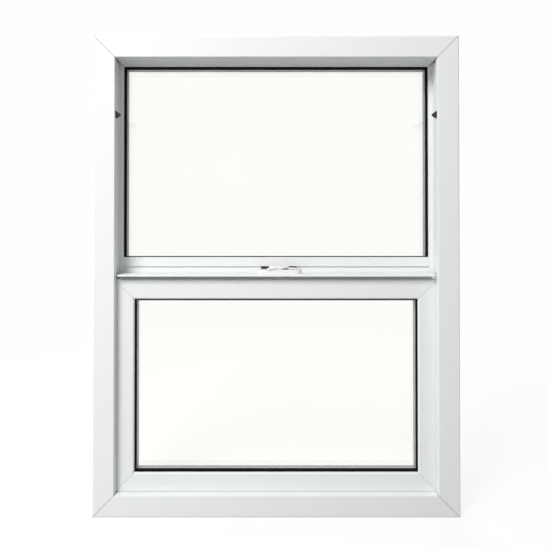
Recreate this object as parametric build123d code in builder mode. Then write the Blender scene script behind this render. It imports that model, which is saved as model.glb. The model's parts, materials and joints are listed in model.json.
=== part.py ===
from build123d import *
import math
import os

# A white vinyl single-hung window: a fixed upper light above a lower sash that slides up.
# X runs to the right as seen from the room, Y away from the room and Z up.
# The origin is the middle of the underside of the sill.

# Outer frame
frame_width = 610
frame_height = 800
face_width = 36
lip_depth = 15
channel_recess = 4.5
sill_recess = 3
leg_thickness = 5
leg_stand = 2.5
leg_wall = 1.5
rebate_cover = 15.5
frame_wall = 2.5
frame_round = 1.2
outer_round = 2.4
frame_bead_thickness = 5.5

# Balance track in the jambs
track_width = 30
mouth_width = 16
cover_flange = 2
cover_thickness = 1.5
cover_play = 0.1
cover_above_sash = 2

# Holes in the frame
fixing_radius = 2.6
fixing_low = 150
fixing_high = 650
weep_length = 30
weep_height = 5
weep_lift = 8
weep_inset = 110

# Glass units
pane_thickness = 3
unit_thickness = 19
edge_clearance = 4
spacer_height = 8
gasket_thickness = 2
gasket_margin = 2
gasket_bevel = 1.2
tape_thickness = 1
upper_spacer_inset = 8.2
upper_gasket_show = 4.2
rail_gasket_show = 1.6
sash_spacer_inset = 4.4
sash_gasket_show = 3
sash_head_gasket_show = 2
sash_foot_gasket_show = 5
block_length = 60
block_quarter_share = 0.25

# Outside glazing beads
bead_wall = 1.2
bead_set_back = 3.2
bead_slope = 3

# Sash
sash_height = 357.5
sash_face = 33
sash_floor = 20
sash_leg = 5
sash_bead_thickness = 6
sash_wall = 2.2
sash_web = 2
sash_bevel = 2
sash_round = 2
sash_play = 1
side_gap = 1.2
sill_gap = 1.5
back_gap = 1.5

# Lift rail along the top of the sash
lift_height = 8.5
lift_lip = 3.2
lift_reach = 11
lift_web_back = 9
lift_wall = 2
lift_end_gap = 4
lift_round = 1.3

# Fixed meeting rail
groove_above_sash = 6.5
groove_height = 4.8
groove_depth = 3
keeper_length = 62
rail_drop = 37
rail_leg_height = 15.7
port_size = 9
port_drop = 9
port_pitch = 18
port_back = 14

# Weather strips
strip_width = 5
strip_depth = 3
strip_inset = 5
strip_end_gap = 4
strip_play = 0.2
seal_play = 0.1
meeting_strip_drop = 30

# Stiffening bars inside the two meeting rails
stiffener_wall = 1.5
stiffener_play = 0.2
stiffener_end_gap = 40

# Sash stops on the jambs
stop_height = 13.4
stop_drop = 95.1
stop_stand = 9.5
stop_front = 6
stop_depth = 13
stop_back_share = 0.6
stop_round = 0.8

# Balances
coil_width = 14
coil_rise = 55
coil_gap = 0.5
coil_cover_gap = 3.5
axle_share = 0.42
axle_play = 0.4
ribbon_thickness = 0.3
ribbon_width = 12
ribbon_play = 0.15
housing_wall = 2
housing_cover_gap = 1
housing_above_coil = 8.5
housing_below_coil = 2.5
housing_play = 0.3
housing_screw_above_coil = 4
shoe_height = 40
shoe_lift = 26
shoe_play = 0.4
pivot_width = 8
pivot_height = 6
pivot_lift = 16
pivot_in_shoe = 14
pivot_in_stile = 4

# Screws
screw_play = 0.15
rail_screw_radius = 2.1
rail_screw_head = 4
rail_screw_head_height = 2.4
rail_screw_bite = 22
rail_screw_access = 5.5
balance_screw_radius = 1.8
balance_screw_head = 3.4
balance_screw_head_height = 1.8
balance_screw_end = 0.3
lock_screw_radius = 1.9
lock_screw_head = 3.9
lock_screw_length = 20
lock_screw_spacing = 60

# Cam lock
lock_offset = 5
lock_length = 78
lock_width = 24
lock_height = 7.3
lock_round = 2
lock_back = 19
spindle_radius = 3.2
spindle_play = 0.3
rivet_radius = 5.5
rivet_height = 1.6
rivet_recess = 2.2
cam_radius = 11
cam_thickness = 2.5
cam_lift = 0.4
cam_end_gap = 1
cam_width = 11
cam_turn = 120
lever_play = 0.5
lever_length = 40
lever_boss_length = 34
lever_boss_width = 21
lever_height = 3
lever_drop = 1.3
lever_root = 10
lever_tip = 6.5
lever_tip_height = 1.6
lever_round = 1.2

# One overrun serves all cuts
overrun = 5

# Worked out from the sizes above, first across the depth of the window
sash_thickness = sash_leg + gasket_thickness + unit_thickness + tape_thickness + sash_bead_thickness
leg_set_back = lip_depth + sash_play + sash_thickness + back_gap
glazing_depth = leg_thickness + gasket_thickness + unit_thickness + tape_thickness + frame_bead_thickness
frame_depth = leg_set_back + glazing_depth
front_y = -frame_depth / 2
back_y = frame_depth / 2
lip_back_y = front_y + lip_depth
sash_front_y = lip_back_y + sash_play
sash_back_y = sash_front_y + sash_thickness
leg_front_y = front_y + leg_set_back
leg_back_y = leg_front_y + leg_thickness
upper_unit_y = leg_back_y + gasket_thickness
upper_tape_y = upper_unit_y + unit_thickness
upper_bead_y = upper_tape_y + tape_thickness
sash_leg_y = sash_front_y + sash_leg
sash_unit_y = sash_leg_y + gasket_thickness
sash_tape_y = sash_unit_y + unit_thickness
sash_bead_y = sash_tape_y + tape_thickness
track_front_y = lip_back_y
track_back_y = track_front_y + track_width
track_y = (track_front_y + track_back_y) / 2

# Then across its width
half_width = frame_width / 2
channel_floor = face_width - channel_recess
sill_floor = face_width - sill_recess
leg_edge = face_width + leg_stand
rebate_floor = leg_edge - rebate_cover
lip_x = half_width - face_width
channel_x = half_width - channel_floor
leg_x = half_width - leg_edge
rebate_x = half_width - rebate_floor
sash_x = channel_x - side_gap
track_floor = frame_wall
track_mouth = channel_floor - frame_wall
cover_floor = track_mouth - cover_thickness
coil_floor = track_floor + housing_wall + coil_gap
coil_radius = (cover_floor - coil_cover_gap - coil_floor) / 2
coil_depth = coil_floor + coil_radius
axle_radius = coil_radius * axle_share
housing_reach = cover_floor - housing_cover_gap - track_floor

# Then up its height
sash_bottom_z = sill_floor + sill_gap
sash_top_z = sash_bottom_z + sash_height
lift_top_z = sash_top_z + lift_height
deck_z = lift_top_z + groove_above_sash
groove_top_z = deck_z + groove_height
rail_leg_z = groove_top_z + rail_leg_height
rail_bottom_z = deck_z - rail_drop
head_floor_z = frame_height - rebate_floor
groove_back_y = leg_front_y + groove_depth
cover_bottom_z = lift_top_z + cover_above_sash
cover_top_z = frame_height - face_width
coil_z = cover_bottom_z + coil_rise
housing_screw_z = coil_z + coil_radius + housing_screw_above_coil

os.makedirs("parts", exist_ok=True)


def keep(piece, label):
    """Names a finished piece and writes it."""
    piece.part.label = label
    export_step(piece.part, f"parts/{label}.step")


def block(x_span, y_span, z_span, mode=Mode.ADD):
    """A box between two values on each axis, in the open part."""
    centre = [(low + high) / 2 for low, high in (x_span, y_span, z_span)]
    with Locations(tuple(centre)):
        Box(*[high - low for low, high in (x_span, y_span, z_span)], mode=mode)


def rod(radius, centre, length, turn, mode=Mode.ADD):
    """A round bar about a centre, turned from Z by the given angles, in the open part."""
    with Locations(Location(centre, turn)):
        Cylinder(radius, length, mode=mode)


ALONG_X = (0, 90, 0)
ALONG_Y = (90, 0, 0)
ALONG_Z = (0, 0, 0)


def sides(half_span, low, high):
    """Start point, inward direction, run direction and length of the four sides of a rectangle."""
    width, height = 2 * half_span, high - low
    return {
        "left": ((-half_span, low), (1, 0, 0), (0, 0, 1), height),
        "right": ((half_span, high), (-1, 0, 0), (0, 0, -1), height),
        "bottom": ((half_span, low), (0, 0, 1), (-1, 0, 0), width),
        "top": ((-half_span, high), (0, 0, -1), (1, 0, 0), width),
    }


def mitred_bar(side, outline, chambers, soft_corners):
    """A bar along one side of a rectangle, hollow, with both ends cut to 45 degrees.

    Its section is drawn with the first value inwards from the side and the second along Y.
    Each soft corner is a point of the section with its radius.
    """
    (start_x, start_z), inward, run, length = side
    reach = max(point[0] for point in outline)
    near = min(point[1] for point in outline)
    far = max(point[1] for point in outline)
    with BuildPart() as bar:
        with BuildSketch(Plane((start_x, 0, start_z), x_dir=inward, z_dir=run)) as section:
            Polygon(*outline)
            for corner, radius in soft_corners:
                fillet(section.vertices().sort_by_distance(corner)[0], radius)
            for (u_low, u_high), (y_low, y_high) in chambers:
                with Locations(((u_low + u_high) / 2, (y_low + y_high) / 2)):
                    Rectangle(u_high - u_low, y_high - y_low, mode=Mode.SUBTRACT)
        extrude(amount=length)
        with BuildSketch(Plane((start_x, near - overrun, start_z), x_dir=run, z_dir=(0, 1, 0))):
            Polygon((0, 0), (length, 0), (length - reach, reach), (reach, reach))
        extrude(amount=far - near + 2 * overrun, mode=Mode.INTERSECT)
    return bar


def ring(outer, inner, y_span, bevel=0):
    """A flat rectangular ring; outer and inner are half width, low and high."""
    with BuildPart() as loop:
        with BuildSketch(Plane.XZ.offset(-y_span[0])):
            for (half_span, low, high), mode in ((outer, Mode.ADD), (inner, Mode.SUBTRACT)):
                with Locations((0, (low + high) / 2)):
                    Rectangle(2 * half_span, high - low, mode=mode)
        extrude(amount=y_span[0] - y_span[1])
        if bevel:
            front = loop.faces().sort_by(Axis.Y)[0]
            chamfer(front.inner_wires()[0].edges(), bevel)
    return loop


def inset(box, amount):
    """A rectangle drawn in by the same amount on all four sides."""
    half_span, low, high = box
    return (half_span - amount, low + amount, high - amount)


def pane(box, y_low):
    """One sheet of glass."""
    half_span, low, high = box
    with BuildPart() as sheet:
        block((-half_span, half_span), (y_low, y_low + pane_thickness), (low, high))
    return sheet


# Frame sections
def frame_outline(floor):
    """Frame section with a channel for the sash behind the lip."""
    return [
        (0, front_y),
        (face_width, front_y),
        (face_width, lip_back_y),
        (floor, lip_back_y),
        (floor, leg_front_y),
        (leg_edge, leg_front_y),
        (leg_edge, leg_back_y),
        (rebate_floor, leg_back_y),
        (rebate_floor, back_y),
        (0, back_y),
    ]


head_outline = [
    (0, front_y),
    (face_width, front_y),
    (face_width, leg_front_y),
    (leg_edge, leg_front_y),
    (leg_edge, leg_back_y),
    (rebate_floor, leg_back_y),
    (rebate_floor, back_y),
    (0, back_y),
]
frame_soft_corners = [
    ((0, front_y), outer_round),
    ((face_width, front_y), frame_round),
    ((leg_edge, leg_front_y), frame_round),
]
nose_chamber = ((frame_wall, face_width - frame_wall), (front_y + frame_wall, lip_back_y - frame_wall))
leg_chamber = ((rebate_floor, leg_edge - leg_wall), (leg_front_y + leg_wall, leg_back_y - leg_wall))
back_chamber = ((frame_wall, rebate_floor - frame_wall), (leg_front_y, back_y - frame_wall))


def middle_chamber(floor):
    """Chamber between the lip and the glazing leg."""
    return ((frame_wall, floor - frame_wall), (lip_back_y, leg_front_y - frame_wall))


track_pocket = ((track_floor, track_mouth), (track_front_y, track_back_y))
track_slot = (
    (track_mouth - overrun, channel_floor + overrun),
    (track_y - mouth_width / 2, track_y + mouth_width / 2),
)
jamb_back_chamber = (
    (frame_wall, rebate_floor - frame_wall),
    (track_back_y + frame_wall, back_y - frame_wall),
)
jamb_chambers = [nose_chamber, leg_chamber, track_pocket, track_slot, jamb_back_chamber]
frame_sides = sides(half_width, 0, frame_height)

# Head
frame_head = mitred_bar(
    frame_sides["top"],
    head_outline,
    [nose_chamber, leg_chamber, middle_chamber(face_width), back_chamber],
    frame_soft_corners,
)
keep(frame_head, "frame_head")

# Sill, with two weep slots in its outside face
sill_bar = mitred_bar(
    frame_sides["bottom"],
    frame_outline(sill_floor),
    [nose_chamber, leg_chamber, middle_chamber(sill_floor), back_chamber],
    frame_soft_corners,
)
with BuildPart() as frame_sill:
    add(sill_bar.part)
    with BuildSketch(Plane.XZ.offset(-back_y)):
        with Locations((-weep_inset, weep_lift), (weep_inset, weep_lift)):
            SlotOverall(weep_length, weep_height)
    extrude(amount=frame_wall + overrun, both=True, mode=Mode.SUBTRACT)
keep(frame_sill, "frame_sill")

# Jambs, with fixing holes into the balance track and holes for the meeting rail's screws
port_y = back_y - port_back
port_z = [deck_z - port_drop, deck_z - port_drop - port_pitch]
for side_name, sign in (("left", -1), ("right", 1)):
    jamb_bar = mitred_bar(
        frame_sides[side_name],
        frame_outline(channel_floor),
        jamb_chambers,
        frame_soft_corners,
    )
    outer_x = sign * half_width
    with BuildPart() as frame_jamb:
        add(jamb_bar.part)
        wall_cut = 2 * (frame_wall + overrun)
        for fixing_z in (fixing_low, fixing_high):
            rod(fixing_radius, (outer_x, track_y, fixing_z), wall_cut, ALONG_X, Mode.SUBTRACT)
        for hole_z in port_z:
            rod(rail_screw_access, (outer_x, port_y, hole_z), wall_cut, ALONG_X, Mode.SUBTRACT)
            wall_x = sign * (rebate_x + frame_wall / 2)
            hole_radius = rail_screw_radius + screw_play
            rod(hole_radius, (wall_x, port_y, hole_z), frame_wall + overrun, ALONG_X, Mode.SUBTRACT)
        balance_hole = balance_screw_radius + screw_play
        rod(balance_hole, (outer_x, track_y, housing_screw_z), wall_cut, ALONG_X, Mode.SUBTRACT)
    keep(frame_jamb, f"frame_jamb_{side_name}")

# Fixed meeting rail, coped at its ends round the jambs' glazing legs, with a keeper slot for the cam
rail_outline = [
    (leg_front_y, rail_bottom_z),
    (leg_front_y, deck_z),
    (groove_back_y, deck_z),
    (groove_back_y, groove_top_z),
    (leg_front_y, groove_top_z),
    (leg_front_y, rail_leg_z),
    (leg_back_y, rail_leg_z),
    (leg_back_y, deck_z),
    (back_y, deck_z),
    (back_y, rail_bottom_z),
]
port_front_y = port_y - port_size / 2
port_back_y = port_y + port_size / 2
rail_front_chamber = (
    (leg_front_y + strip_depth + frame_wall, port_front_y),
    (rail_bottom_z + frame_wall, deck_z - frame_wall),
)
rail_back_chamber = ((port_back_y, back_y - frame_wall), (rail_bottom_z + frame_wall, deck_z - frame_wall))
meeting_strip_z = deck_z - meeting_strip_drop
with BuildPart() as fixed_meeting_rail:
    with BuildSketch(Plane.YZ.offset(-rebate_x)) as rail_section:
        Polygon(*rail_outline)
        rail_corner = (leg_front_y, rail_leg_z)
        fillet(rail_section.vertices().sort_by_distance(rail_corner)[0], frame_round)
        for (y_low, y_high), (z_low, z_high) in (rail_front_chamber, rail_back_chamber):
            with Locations(((y_low + y_high) / 2, (z_low + z_high) / 2)):
                Rectangle(y_high - y_low, z_high - z_low, mode=Mode.SUBTRACT)
        with Locations((leg_front_y, meeting_strip_z)):
            Rectangle(2 * strip_depth, strip_width, mode=Mode.SUBTRACT)
    extrude(amount=2 * rebate_x)
    for sign in (-1, 1):
        end_span = sorted((sign * leg_x, sign * (rebate_x + overrun)))
        cope_span = (leg_front_y - overrun, leg_back_y)
        block(end_span, cope_span, (rail_bottom_z - overrun, rail_leg_z + overrun), Mode.SUBTRACT)
        for hole_z in port_z:
            end_centre = (sign * rebate_x, port_y, hole_z)
            rod(rail_screw_radius + screw_play, end_centre, 2 * rail_screw_bite, ALONG_X, Mode.SUBTRACT)
    keeper_x = (lock_offset - keeper_length / 2, lock_offset + keeper_length / 2)
    block(keeper_x, (leg_front_y, leg_back_y + overrun), (deck_z, groove_top_z), Mode.SUBTRACT)
keep(fixed_meeting_rail, "fixed_meeting_rail")


def stiffener(half_length, y_span, z_span):
    """A square tube that lies along X inside a chamber."""
    y_low, y_high = y_span
    z_low, z_high = z_span
    with BuildPart() as tube:
        block((-half_length, half_length), (y_low, y_high), (z_low, z_high))
        block(
            (-half_length - overrun, half_length + overrun),
            (y_low + stiffener_wall, y_high - stiffener_wall),
            (z_low + stiffener_wall, z_high - stiffener_wall),
            Mode.SUBTRACT,
        )
    return tube


rail_tube_y = [rail_front_chamber[0][0] + stiffener_play, rail_front_chamber[0][1] - stiffener_play]
rail_tube_z = [rail_front_chamber[1][0], rail_front_chamber[1][1] - stiffener_play]
keep(stiffener(leg_x - stiffener_end_gap, rail_tube_y, rail_tube_z), "meeting_rail_stiffener")

# Screws that hold the meeting rail, with their heads inside the jambs
with BuildPart() as meeting_rail_screws:
    for sign in (-1, 1):
        seat_x = rebate_x + frame_wall
        tip_x = rebate_x - rail_screw_bite + screw_play
        for screw_z in port_z:
            shank_centre = (sign * (seat_x + tip_x) / 2, port_y, screw_z)
            rod(rail_screw_radius, shank_centre, seat_x - tip_x, ALONG_X)
            head_centre = (sign * (seat_x + rail_screw_head_height / 2), port_y, screw_z)
            rod(rail_screw_head, head_centre, rail_screw_head_height, ALONG_X)
keep(meeting_rail_screws, "meeting_rail_screws")

# Pile strip between the two meeting rails
with BuildPart() as meeting_rail_pile:
    strip_z = (meeting_strip_z - strip_width / 2, meeting_strip_z + strip_width / 2)
    pile_y = (leg_front_y - back_gap + strip_play, leg_front_y + strip_depth)
    block((-leg_x, leg_x), pile_y, strip_z)
keep(meeting_rail_pile, "meeting_rail_pile")


def glass_unit(name, box, y_low, spacer_inset):
    """Two panes with a spacer and an edge seal between them."""
    back_pane_y = y_low + unit_thickness - pane_thickness
    gap_span = (y_low + pane_thickness, back_pane_y)
    seal_edge = inset(box, spacer_inset)
    keep(pane(box, y_low), f"{name}_pane_inner")
    keep(pane(box, back_pane_y), f"{name}_pane_outer")
    keep(ring(box, seal_edge, gap_span), f"{name}_edge_seal")
    keep(ring(seal_edge, inset(seal_edge, spacer_height), gap_span), f"{name}_spacer")


def setting_blocks(half_span, y_low, z_low):
    """Two blocks that a glass unit stands on."""
    with BuildPart() as blocks:
        for sign in (-1, 1):
            middle = sign * 2 * half_span * block_quarter_share
            x_span = (middle - block_length / 2, middle + block_length / 2)
            block(x_span, (y_low, y_low + unit_thickness), (z_low, z_low + edge_clearance))
    return blocks


def bead_outline(reach, y_low, thickness):
    """Glazing bead section with a sloped outside face."""
    return [
        (0, y_low),
        (reach, y_low),
        (reach, y_low + thickness - bead_slope),
        (reach - bead_slope, y_low + thickness),
        (0, y_low + thickness),
    ]


def bead_chamber(reach, y_low, thickness):
    """Hollow of a glazing bead."""
    return ((bead_wall, reach - bead_slope - bead_wall), (y_low + bead_wall, y_low + thickness - bead_wall))


# Upper light, glazed from outside against the frame's legs
upper_rebate = (rebate_x, deck_z, head_floor_z)
upper_glass = inset(upper_rebate, edge_clearance)
glass_unit("upper", upper_glass, upper_unit_y, upper_spacer_inset)
upper_gasket_inner = (
    leg_x - upper_gasket_show,
    rail_leg_z + rail_gasket_show,
    frame_height - leg_edge - upper_gasket_show,
)
upper_gasket_outer = inset(upper_glass, gasket_margin)
upper_gasket = ring(upper_gasket_outer, upper_gasket_inner, (leg_back_y, upper_unit_y), gasket_bevel)
keep(upper_gasket, "upper_gasket")
upper_bead_reach = rebate_cover - bead_set_back
upper_tape_inner = inset(upper_rebate, upper_bead_reach)
keep(ring(upper_gasket_outer, upper_tape_inner, (upper_tape_y, upper_bead_y)), "upper_tape")
keep(setting_blocks(upper_glass[0], upper_unit_y, deck_z), "upper_setting_blocks")
upper_bead_names = {"left": "left", "right": "right", "top": "head", "bottom": "rail"}
for side_name, side in sides(*upper_rebate).items():
    upper_bead = mitred_bar(
        side,
        bead_outline(upper_bead_reach, upper_bead_y, frame_bead_thickness),
        [bead_chamber(upper_bead_reach, upper_bead_y, frame_bead_thickness)],
        [((upper_bead_reach, upper_bead_y + frame_bead_thickness - bead_slope), bead_wall / 2)],
    )
    keep(upper_bead, f"upper_bead_{upper_bead_names[side_name]}")

# Track covers, which close the balance slot above the sash
for side_name, sign in (("left", -1), ("right", 1)):
    with BuildPart() as track_cover:
        mouth_x = channel_x + frame_wall
        plate_x = sorted((sign * channel_x, sign * mouth_x))
        plate_half = mouth_width / 2 - cover_play
        block(plate_x, (track_y - plate_half, track_y + plate_half), (cover_bottom_z, cover_top_z))
        flange_x = sorted((sign * mouth_x, sign * (mouth_x + cover_thickness)))
        flange_half = mouth_width / 2 + cover_flange
        block(flange_x, (track_y - flange_half, track_y + flange_half), (cover_bottom_z, cover_top_z))
    keep(track_cover, f"track_cover_{side_name}")

# Sash stops: dark wedges that end the sash's travel
stop_z = frame_height - face_width - stop_drop
stop_y = (front_y + stop_front, front_y + stop_front + stop_depth)
for side_name, sign in (("left", -1), ("right", 1)):
    with BuildPart() as sash_stop:
        for wedge_y, share in zip(stop_y, (1, stop_back_share)):
            half_height = stop_height * share / 2
            tip = (sign * (lip_x - stop_stand * share), stop_z)
            with BuildSketch(Plane.XZ.offset(-wedge_y)) as wedge:
                Polygon(
                    (sign * lip_x, stop_z - half_height),
                    tip,
                    (sign * lip_x, stop_z + half_height),
                )
                fillet(wedge.vertices().sort_by_distance(tip)[0], stop_round)
        loft()
        foot_x = sorted((sign * lip_x, sign * channel_x))
        block(foot_x, (sash_front_y, stop_y[1]), (stop_z - half_height, stop_z + half_height))
    keep(sash_stop, f"sash_stop_{side_name}")

# Sash bars
sash_box = (sash_x, sash_bottom_z, sash_top_z)
sash_sides = sides(*sash_box)
sash_outline = [
    (0, sash_front_y),
    (sash_face - sash_bevel, sash_front_y),
    (sash_face, sash_front_y + sash_bevel),
    (sash_face, sash_leg_y),
    (sash_floor, sash_leg_y),
    (sash_floor, sash_back_y),
    (0, sash_back_y),
]
sash_middle_y = (sash_front_y + sash_back_y) / 2
chamber_span = (strip_depth + sash_wall, sash_floor - sash_wall)
sash_front_chamber = (chamber_span, (sash_front_y + sash_wall, sash_middle_y - sash_web / 2))
sash_back_chamber = (chamber_span, (sash_middle_y + sash_web / 2, sash_back_y - sash_wall))
strip_y = (sash_back_y - strip_inset - strip_width, sash_back_y - strip_inset)
strip_slot = ((-overrun, strip_depth), strip_y)
sash_chambers = [sash_front_chamber, sash_back_chamber]
sash_soft_corners = [((0, sash_front_y), sash_round)]

# Bottom rail, with its seal against the sill
sash_bottom_rail = mitred_bar(
    sash_sides["bottom"], sash_outline, sash_chambers + [strip_slot], sash_soft_corners
)
keep(sash_bottom_rail, "sash_bottom_rail")
with BuildPart() as sash_bottom_seal:
    seal_half = sash_x - strip_depth - strip_end_gap
    block((-seal_half, seal_half), strip_y, (sill_floor + seal_play, sash_bottom_z + strip_depth))
keep(sash_bottom_seal, "sash_bottom_seal")

# Stiles, each with a pile strip and the slot for its pivot bar
shoe_bottom_z = sash_bottom_z + shoe_lift
pivot_z = (shoe_bottom_z + pivot_lift, shoe_bottom_z + pivot_lift + pivot_height)
pivot_y = (track_y - pivot_width / 2, track_y + pivot_width / 2)
pivot_inner_x = sash_x - strip_depth - sash_wall - pivot_in_stile
pivot_outer_x = half_width - track_mouth + pivot_in_shoe
for side_name, sign in (("left", -1), ("right", 1)):
    pivot_x = sorted((sign * pivot_inner_x, sign * pivot_outer_x))
    stile_bar = mitred_bar(
        sash_sides[side_name], sash_outline, sash_chambers + [strip_slot], sash_soft_corners
    )
    with BuildPart() as sash_stile:
        add(stile_bar.part)
        block(pivot_x, pivot_y, pivot_z, Mode.SUBTRACT)
    keep(sash_stile, f"sash_stile_{side_name}")

    with BuildPart() as sash_pile:
        pile_x = sorted((sign * (sash_x - strip_depth), sign * (channel_x - strip_play)))
        end_gap = strip_depth + strip_end_gap
        block(pile_x, strip_y, (sash_bottom_z + end_gap, sash_top_z - end_gap))
    keep(sash_pile, f"sash_pile_{side_name}")

    with BuildPart() as pivot_bar:
        block(pivot_x, pivot_y, pivot_z)
    keep(pivot_bar, f"pivot_bar_{side_name}")

# Top rail and the lift rail on it, with holes for the lock's screws
lock_y = sash_back_y - lock_back
screw_x = [lock_offset - lock_screw_spacing / 2, lock_offset + lock_screw_spacing / 2]
lock_screw_hole = lock_screw_radius + screw_play
lock_screw_bite = lock_screw_length - lock_height - lift_height
top_bar = mitred_bar(sash_sides["top"], sash_outline, sash_chambers, sash_soft_corners)
with BuildPart() as sash_top_rail:
    add(top_bar.part)
    for hole_x in screw_x:
        hole_depth = lock_screw_bite + screw_play
        rod(lock_screw_hole, (hole_x, lock_y, sash_top_z), 2 * hole_depth, ALONG_Z, Mode.SUBTRACT)
keep(sash_top_rail, "sash_top_rail")

lift_half = lip_x - lift_end_gap
lift_front_y = sash_front_y - lift_reach
lift_web_y = sash_front_y + lift_web_back
lift_under_z = lift_top_z - lift_lip
with BuildPart() as sash_lift_rail:
    with BuildSketch(Plane.YZ.offset(-lift_half)) as lift_section:
        Polygon(
            (lift_web_y, sash_top_z),
            (sash_back_y, sash_top_z),
            (sash_back_y, lift_top_z),
            (lift_front_y, lift_top_z),
            (lift_front_y, lift_under_z),
            (lift_web_y, lift_under_z),
        )
        lip_corners = [(lift_front_y, lift_top_z), (lift_front_y, lift_under_z)]
        fillet([lift_section.vertices().sort_by_distance(point)[0] for point in lip_corners], lift_round)
        with Locations(((lift_web_y + sash_back_y) / 2, (sash_top_z + lift_top_z) / 2)):
            hollow_width = sash_back_y - lift_web_y - 2 * lift_wall
            Rectangle(hollow_width, lift_height - 2 * lift_wall, mode=Mode.SUBTRACT)
    extrude(amount=2 * lift_half)
    for hole_x in screw_x:
        hole_length = 2 * (lift_height + overrun)
        rod(lock_screw_hole, (hole_x, lock_y, lift_top_z), hole_length, ALONG_Z, Mode.SUBTRACT)
keep(sash_lift_rail, "sash_lift_rail")

tube_y = (sash_back_chamber[1][0] + stiffener_play, sash_back_chamber[1][1] - stiffener_play)
tube_z = (sash_top_z - chamber_span[1], sash_top_z - chamber_span[0] - stiffener_play)
keep(stiffener(sash_x - sash_face - stiffener_end_gap, tube_y, tube_z), "sash_stiffener")

# Glass of the sash, glazed from outside
sash_rebate = inset(sash_box, sash_floor)
sash_glass = inset(sash_rebate, edge_clearance)
glass_unit("sash", sash_glass, sash_unit_y, sash_spacer_inset)
sash_gasket_outer = inset(sash_glass, gasket_margin)
sash_gasket_inner = (
    sash_x - sash_face - sash_gasket_show,
    sash_bottom_z + sash_face + sash_foot_gasket_show,
    sash_top_z - sash_face - sash_head_gasket_show,
)
keep(ring(sash_gasket_outer, sash_gasket_inner, (sash_leg_y, sash_unit_y), gasket_bevel), "sash_gasket")
sash_bead_reach = sash_face - sash_floor - bead_set_back
sash_tape_inner = inset(sash_rebate, sash_bead_reach)
keep(ring(sash_gasket_outer, sash_tape_inner, (sash_tape_y, sash_bead_y)), "sash_tape")
keep(setting_blocks(sash_glass[0], sash_unit_y, sash_rebate[1]), "sash_setting_blocks")
for side_name, side in sides(*sash_rebate).items():
    sash_bead = mitred_bar(
        side,
        bead_outline(sash_bead_reach, sash_bead_y, sash_bead_thickness),
        [bead_chamber(sash_bead_reach, sash_bead_y, sash_bead_thickness)],
        [((sash_bead_reach, sash_bead_y + sash_bead_thickness - bead_slope), bead_wall / 2)],
    )
    keep(sash_bead, f"sash_bead_{side_name}")

# Balances: a coil of spring ribbon turns on an axle above the sash and pulls a shoe that carries it
shoe_top_z = shoe_bottom_z + shoe_height
for side_name, sign in (("left", -1), ("right", 1)):
    coil_x = sign * (half_width - coil_depth)
    with BuildPart() as balance_housing:
        housing_low_z = coil_z - coil_radius - housing_below_coil
        housing_z = (housing_low_z, coil_z + coil_radius + housing_above_coil)
        floor_x = half_width - track_floor
        plate_x = sorted((sign * floor_x, sign * (floor_x - housing_wall)))
        cheek_x = sorted((sign * floor_x, sign * (floor_x - housing_reach)))
        housing_front_y = track_front_y + housing_play
        housing_back_y = track_back_y - housing_play
        block(plate_x, (housing_front_y, housing_back_y), housing_z)
        block(cheek_x, (housing_front_y, housing_front_y + housing_wall), housing_z)
        block(cheek_x, (housing_back_y - housing_wall, housing_back_y), housing_z)
        rod(axle_radius, (coil_x, track_y, coil_z), housing_back_y - housing_front_y, ALONG_Y)
        screw_centre = (sign * floor_x, track_y, housing_screw_z)
        rod(balance_hole, screw_centre, 2 * (housing_wall + overrun), ALONG_X, Mode.SUBTRACT)
    keep(balance_housing, f"balance_housing_{side_name}")

    with BuildPart() as balance_coil:
        rod(coil_radius, (coil_x, track_y, coil_z), coil_width, ALONG_Y)
        bore_length = coil_width + overrun
        rod(axle_radius + axle_play, (coil_x, track_y, coil_z), bore_length, ALONG_Y, Mode.SUBTRACT)
    keep(balance_coil, f"balance_coil_{side_name}")

    with BuildPart() as balance_ribbon:
        ribbon_x = half_width - coil_depth - coil_radius - ribbon_play
        x_span = sorted((sign * ribbon_x, sign * (ribbon_x - ribbon_thickness)))
        block(x_span, (track_y - ribbon_width / 2, track_y + ribbon_width / 2), (shoe_top_z, coil_z))
    keep(balance_ribbon, f"balance_ribbon_{side_name}")

    with BuildPart() as balance_shoe:
        shoe_outer_x = half_width - track_floor - shoe_play
        shoe_inner_x = half_width - track_mouth + shoe_play
        shoe_x = sorted((sign * shoe_outer_x, sign * shoe_inner_x))
        shoe_y = (track_front_y + shoe_play, track_back_y - shoe_play)
        block(shoe_x, shoe_y, (shoe_bottom_z, shoe_top_z))
        pivot_x = sorted((sign * pivot_inner_x, sign * pivot_outer_x))
        block(pivot_x, pivot_y, pivot_z, Mode.SUBTRACT)
    keep(balance_shoe, f"balance_shoe_{side_name}")

with BuildPart() as balance_screws:
    for sign in (-1, 1):
        seat_x = half_width - track_floor - housing_wall
        tip_x = half_width - balance_screw_end
        shank_centre = (sign * (seat_x + tip_x) / 2, track_y, housing_screw_z)
        rod(balance_screw_radius, shank_centre, tip_x - seat_x, ALONG_X)
        head_centre = (sign * (seat_x - balance_screw_head_height / 2), track_y, housing_screw_z)
        rod(balance_screw_head, head_centre, balance_screw_head_height, ALONG_X)
keep(balance_screws, "balance_screws")

# Cam lock: a low base, and a lever whose cam swings back into the groove of the fixed rail
lock_top_z = lift_top_z + lock_height
cam_z = lock_top_z + cam_lift
cam_top_z = cam_z + cam_thickness
cam_reach = lock_back + back_gap + groove_depth - cam_end_gap


def countersunk(centre, radius, head, length, mode=Mode.ADD):
    """A countersunk screw, or the hole for one, that points down from the centre of its head."""
    x, y, z = centre
    head_height = head - radius
    rod(radius, (x, y, z - length / 2), length, ALONG_Z, mode)
    with Locations((x, y, z - head_height / 2)):
        Cone(radius, head, head_height, mode=mode)


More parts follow.
